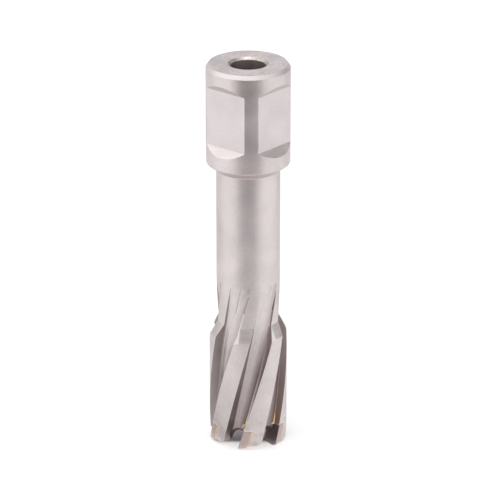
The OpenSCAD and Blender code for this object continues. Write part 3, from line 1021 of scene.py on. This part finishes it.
def slope_shade_share(metal, s):
    """Share of the way up the slope to a cutting face, from coordinates turned back along its helix."""
    # this share masks the painted shade on the slopes
    tree, slope_foot, slope_head = metal.tree, math.radians(14.5), math.radians(2.5)
    parts = add(tree, "ShaderNodeSeparateXYZ", {0: metal.lines}).outputs
    past_edge = maths(tree, "SUBTRACT", maths(tree, "ARCTAN2", parts["Y"], parts["X"]), s.first_edge)
    in_pitch = maths(tree, "FLOORED_MODULO", past_edge, s.pitch)
    return ranged(tree, in_pitch, s.pitch - slope_foot, s.pitch - slope_head)


def satin_steel():
    # tool steel, ground round and then fine-blasted: a pale satin, faintly grained, stained near the tips
    steel = grained_metal("satin_ground_steel", colours().steel, grain=0.3, stretch=(1, 1, 1.6), tint=0.12,
                          rough=(0.4, 0.48), depth=0.009)
    blend_in(steel, colours().stain, (4.5, 9), amount=0.22, spot=1.6)
    return steel.made


def cone_steel():
    # cones of the shoulders and under the shank, turned and not ground: a little darker, with rings
    return grained_metal("turned_cone_steel", colours().cone, grain=0.3, stretch=(0.12, 0.12, 1), tint=0.08,
                         rough=(0.36, 0.46), depth=0.01).made


def ground_steel():
    # clamping flats ground after hardening: as pale as the skin, with a fine grain along the shank
    return grained_metal("ground_flat_steel", colours().flat, grain=0.3, stretch=(1.2, 1.2, 0.6), tint=0.09,
                         rough=(0.4, 0.48), depth=0.008).made


def ramp_steel():
    # ramps left by the milling cutter: coarse lines across the shank
    return grained_metal("milled_ramp_steel", colours().ramp, grain=0.28, stretch=(0.12, 0.12, 1), tint=0.12,
                         rough=(0.32, 0.42), depth=0.02).made


def turned_steel():
    # end of the shank, faced on a lathe: fine rings round the bore, mottled by handling
    steel = grained_metal("faced_end_steel", colours().end_face, grain=0.7, stretch=(1, 1, 1), tint=0.2,
                          rough=(0.34, 0.52), depth=0.016)
    ring_spacing, ring_depth = 0.35, 0.005
    # at a scale of 1 the texture's rings lie 2 pi / 20 apart
    scale = per_mm(ring_spacing) * 2 * math.pi / 20
    rings = add(steel.tree, "ShaderNodeTexWave",
                {"Vector": steel.place, "Scale": scale, "Distortion": 1.2, "Detail": 3.0},
                wave_type="RINGS", rings_direction="Z")
    cut_rings = add(steel.tree, "ShaderNodeBump",
                    {"Height": rings.outputs["Fac"], "Distance": ring_depth * MM, "Normal": steel.bump})
    steel.tree.links.new(cut_rings.outputs[0], steel.shader.inputs["Normal"])
    return steel.made


def sink_steel():
    # countersink, turned last with a sharp tool: smoother than the end round it, with brown spots
    steel = grained_metal("countersunk_steel", colours().sink, grain=0.3, stretch=(0.15, 0.15, 1), tint=0.06,
                          rough=(0.26, 0.36), depth=0.006)
    blend_in(steel, colours().stain, (95, 100), amount=0.45, spot=1.5)
    return steel.made


def flute_steel_and_shade(s):
    # flutes, milled along the helix: nearly as pale as the skin, with lines along the cut and stained near
    # the tips; painted shade darkens them towards the tips and up the slopes to the cutting faces
    steel = grained_metal("milled_flute_steel", colours().flute, grain=0.3, stretch=(1, 1, 0.2), tint=0.1,
                          rough=(0.36, 0.46), depth=0.012, lead=s.face_lead)
    blend_in(steel, colours().shade, (10, 30), amount=1.0, blend="MULTIPLY")
    blend_in(steel, colours().slope, (18, 26), amount=1.0, rest=0.36, within=slope_shade_share(steel, s))
    blend_in(steel, colours().stain, (4, 9), amount=0.3, spot=1.4)
    return steel.made


def ledge_highlight_steel():
    # ledges at the foot of the cutting faces: thin bright lines, paler by a painted highlight
    return grained_metal("burnished_ledge_steel", colours().ledge, grain=0.3, stretch=(1, 1, 0.3), tint=0.04,
                         rough=(0.28, 0.36), depth=0.006).made


def corner_highlight_steel():
    # facets on the shoulders' corners, ground last: they catch the light, and a painted highlight makes
    # them brighter still than the skin round them
    return grained_metal("ground_corner_steel", colours().corner, grain=0.3, stretch=(1, 1, 0.4), tint=0.04,
                         rough=(0.32, 0.4), depth=0.006).made


def shaded_heel_steel(s):
    # heel walls, milled and left: painted shade makes them darker than the skin
    return grained_metal("milled_heel_steel", colours().heel, grain=0.3, stretch=(1, 1, 0.06), tint=0.14,
                         rough=(0.36, 0.48), depth=0.012, lead=s.heel_lead).made


def gullet_steel():
    # gullets and seats, milled and left under the flux: dark, unevenly stained
    return grained_metal("milled_gullet_steel", colours().gullet, grain=0.35, stretch=(1, 1, 1), tint=0.18,
                         rough=(0.38, 0.5), depth=0.015).made


def face_steel(s):
    # cutting faces, ground along the helix, with a brown film of braze over the tips
    steel = grained_metal("ground_face_steel", colours().face, grain=0.3, stretch=(1, 1, 0.06), tint=0.1,
                          rough=(0.34, 0.44), depth=0.01, lead=s.face_lead)
    blend_in(steel, colours().film, (6.8, 9.5), amount=1.0, spot=2)
    return steel.made


def bored_steel():
    # bore and cup, drilled and reamed: dull and dark inside
    return grained_metal("bored_steel", colours().bore, grain=0.4, stretch=(0.2, 0.2, 1), tint=0.1,
                         rough=(0.42, 0.55), depth=0.012).made


def ground_carbide():
    # sintered tungsten carbide, diamond ground: a darker grey than the steel, with lines along the tip
    return grained_metal("ground_carbide", colours().carbide, grain=0.25, stretch=(1, 1, 0.3), tint=0.08,
                         rough=(0.32, 0.42), depth=0.006).made


def shaded_carbide_front():
    # front faces of the tips: painted shade makes them darker than the ground ones
    return grained_metal("sintered_carbide", colours().front, grain=0.3, stretch=(1, 1, 1), tint=0.1,
                         rough=(0.36, 0.46), depth=0.008).made


def braze_filler():
    # silver brazing alloy, left as it flowed: golden, uneven
    return grained_metal("golden_braze_filler", colours().braze, grain=0.6, stretch=(1, 1, 1), tint=0.22,
                         rough=(0.28, 0.42), depth=0.03).made


def pale_braze():
    # the same alloy where it flowed thin over a tip and was ground with it: silvery, with a pink tinge
    return grained_metal("ground_braze_filler", colours().wash, grain=0.5, stretch=(1, 1, 1), tint=0.1,
                         rough=(0.3, 0.42), depth=0.012).made


# stage

def floor_paper(glow, foot, front):
    """White paper: part of its white is its own glow, so that the shadow on it stays soft and pale. Under the
    cutter the glow fades from the back to the front of its hollow; it is whole between the front teeth."""
    made, tree = empty_material("white_floor_paper")
    place = add(tree, "ShaderNodeTexCoord").outputs["Object"]
    ahead = add(tree, "ShaderNodeVectorMath", {0: place, 1: front}, operation="DOT_PRODUCT").outputs["Value"]
    away = add(tree, "ShaderNodeVectorMath", {0: place}, operation="LENGTH").outputs["Value"]
    # places under the cutter by shares of its foot's radius, from the hollow's back to the foot's edge
    back, arch, teeth, rim, edge = (share * foot * MM for share in (-0.5, 0.36, 0.54, 0.85, 1))
    dim, dark = 0.5 * glow, 0.05 * glow
    hollow = ranged(tree, ahead, back, arch, dim, dark)
    inside = ranged(tree, ahead, arch, teeth, hollow, glow)
    whole = ranged(tree, away, rim, edge, inside, glow)
    tone = mixed(tree, ranged(tree, whole, 0.0, glow), HOLLOW_TONE, WHITE)
    paper = add(tree, "ShaderNodeBsdfDiffuse", {"Color": (0.8, 0.8, 0.8, 1)})
    light = add(tree, "ShaderNodeEmission", {"Color": tone, "Strength": whole})
    both = add(tree, "ShaderNodeAddShader", {0: paper.outputs[0], 1: light.outputs[0]})
    add(tree, "ShaderNodeOutputMaterial", {"Surface": both.outputs[0]})
    return made


def card(name, rows):
    """A grey card that only the metal sees, such as a photographer holds just outside the picture. rows are
    its (left corner, right corner, grey) from end to end; the grey blends between them."""
    corners = [corner for left, right, grey in rows for corner in (left, right)]
    faces = [(2 * i, 2 * i + 1, 2 * i + 3, 2 * i + 2) for i in range(len(rows) - 1)]
    made = mesh_object(name, corners, faces)
    greys = made.data.attributes.new("grey", "FLOAT", "POINT")
    greys.data.foreach_set("value", [grey for left, right, grey in rows for _ in (left, right)])
    paint, tree = empty_material(name)
    grey = add(tree, "ShaderNodeAttribute", attribute_name="grey").outputs["Fac"]
    glow = add(tree, "ShaderNodeEmission", {"Color": mixed(tree, grey, WARM_BLACK, WHITE)})
    add(tree, "ShaderNodeOutputMaterial", {"Surface": glow.outputs[0]})
    made.data.materials.append(paint)
    made.visible_camera = made.visible_diffuse = made.visible_shadow = False


def softbox(name, place, towards, size, radiance):
    """A square softbox of the given radiance, facing a point."""
    lamp = bpy.data.lights.new(name, "AREA")
    lamp.shape, lamp.size = "SQUARE", size * MM
    lamp.energy = radiance * math.pi * (size * MM) ** 2
    made = bpy.data.objects.new(name, lamp)
    made.location = Vector(place) * MM
    made.rotation_euler = (Vector(towards) - Vector(place)).to_track_quat("-Z", "Y").to_euler()
    bpy.context.scene.collection.objects.link(made)


def white_world(strength):
    """A world that is white to the camera and the metal, and an even light of this strength to the rest."""
    world = bpy.data.worlds.new("white_studio")
    world.use_nodes = True
    tree = world.node_tree
    tree.nodes.clear()
    path = add(tree, "ShaderNodeLightPath").outputs
    seen = path["Is Camera Ray"]
    for ray in ("Is Glossy Ray", "Is Transmission Ray"):
        seen = maths(tree, "MAXIMUM", seen, path[ray])
    fill = add(tree, "ShaderNodeBackground", {"Color": WHITE, "Strength": strength})
    white = add(tree, "ShaderNodeBackground", {"Color": WHITE, "Strength": 1.0})
    mix = add(tree, "ShaderNodeMixShader", {0: seen, 1: fill.outputs[0], 2: white.outputs[0]})
    add(tree, "ShaderNodeOutputWorld", {"Surface": mix.outputs[0]})
    return world


class CUTTER_OT_stage(bpy.types.Operator):
    """Makes the white floor, the soft light and the camera"""

    bl_idname = "cutter.stage"
    bl_label = "Stage"

    def execute(self, context):
        scene, stage = context.scene, context.scene.cutter_stage
        front = Vector((math.sin(stage.azimuth), -math.cos(stage.azimuth), 0))
        right = Vector((math.cos(stage.azimuth), math.sin(stage.azimuth), 0))
        up = Vector((0, 0, 1))

        half = 3000
        corners = [(-half, -half, 0), (half, -half, 0), (half, half, 0), (-half, half, 0)]
        floor = mesh_object("floor", corners, [(0, 1, 2, 3)])
        floor.data.materials.append(floor_paper(stage.floor_glow, cutter_sizes().tip_r, front))

        def around(turn, reach, height):
            """A point of the studio: turned to the right of the camera, at a reach from the axis."""
            return (front * math.cos(turn) + right * math.sin(turn)) * reach + up * height

        def upright(name, turns, greys, reach=900):
            """An upright card between two directions, in degrees to the right of the camera, with its greys
            by height."""
            start, end = (math.radians(turn) for turn in turns)
            card(name, [(around(start, reach, z), around(end, reach, z), grey) for z, grey in greys])

        def ring(name, turns, reaches, grey, gain=0.0, height=0.2):
            """A card that lies on the floor round the cutter, between two directions and two reaches. It is
            paler by the gain on the right and darker by it on the left."""
            (inner, outer), columns, rows = reaches, 25, []
            for turn in np.radians(np.linspace(*turns, columns)):
                tone = grey + gain * math.sin(turn)
                rows.append((around(turn, inner, height), around(turn, outer, height), tone))
            card(name, rows)

        # on the floor in front: the skin's dark middle band, which fades towards the teeth
        spread, over_rings = stage.card_spread, 0.3
        band = ((36, 0.92), (90, 0.76), (150, 0.66), (210, 0.07), (1200, 0.07))
        card("front_card", [(around(-spread, reach, over_rings), around(spread, reach, over_rings), grey)
                            for reach, grey in band])
        # round the foot, round the neck and behind: the floor's shade on the lands and at the skin's outlines
        ring("foot_card", turns=(0, 360), reaches=(11, 44), grey=0.8, gain=0.12)
        ring("neck_card", turns=(-105, 100), reaches=(55, 100), grey=0.92)
        ring("back_floor_card", turns=(112, 255), reaches=(50, 1200), grey=0.82)
        # upright, behind the camera, on the right and at the back: shade on the faces that mirror them
        upright("camera_card", turns=(-32, 32), greys=((50, 0.43), (900, 0.43)))
        upright("right_card", turns=(95, 150), greys=((120, 0.42), (1000, 0.64)))
        upright("back_card", turns=(150, 250), greys=((0, 0.8), (420, 0.8)))
        middle = up * 50
        softbox("softbox_top", around(-0.3, 250, 900), middle, size=700, radiance=stage.top_light)
        softbox("softbox_left", around(-1.6, 800, 750), middle, size=600, radiance=stage.side_light)
        scene.world = white_world(stage.fill)

        lens = bpy.data.cameras.new("camera")
        lens.lens, lens.sensor_width = stage.focal, 36
        lens.clip_start, lens.clip_end = 0.01, 20
        camera = bpy.data.objects.new("camera", lens)
        camera.location = front * stage.distance + up * stage.height
        aim = right * stage.aim_side + up * stage.aim
        camera.rotation_euler = (aim - camera.location).to_track_quat("-Z", "Y").to_euler()
        scene.collection.objects.link(camera)
        scene.camera = camera
        scene.view_settings.view_transform = "Standard"
        return {"FINISHED"}


# panel and registration

class CUTTER_PT_panel(bpy.types.Panel):
    """Lists the cutter's pieces, sizes and colours"""

    bl_label = "Annular cutter"
    bl_idname = "CUTTER_PT_panel"
    bl_space_type = "VIEW_3D"
    bl_region_type = "UI"
    bl_category = "Cutter"

    def draw(self, context):
        for operator in OPERATORS:
            self.layout.operator(operator.bl_idname)
        for group in (context.scene.cutter_sizes, context.scene.cutter_colours, context.scene.cutter_stage):
            box = self.layout.box()
            for key in type(group).__annotations__:
                box.prop(group, key)


OPERATORS = (CUTTER_OT_stage, CUTTER_OT_body, CUTTER_OT_tips, CUTTER_OT_braze)
GROUPS = {"cutter_sizes": CutterSizes, "cutter_colours": CutterColours, "cutter_stage": StageSettings}


def register():
    for group in (*GROUPS.values(), *OPERATORS, CUTTER_PT_panel):
        bpy.utils.register_class(group)
    for name, group in GROUPS.items():
        setattr(bpy.types.Scene, name, PointerProperty(type=group))


def unregister():
    for name in GROUPS:
        delattr(bpy.types.Scene, name)
    for group in (CUTTER_PT_panel, *OPERATORS, *GROUPS.values()):
        bpy.utils.unregister_class(group)


def main():
    register()
    bpy.ops.cutter.stage()
    bpy.ops.cutter.body()
    bpy.ops.cutter.tips()
    bpy.ops.cutter.braze()


if __name__ == "__main__":
    main()
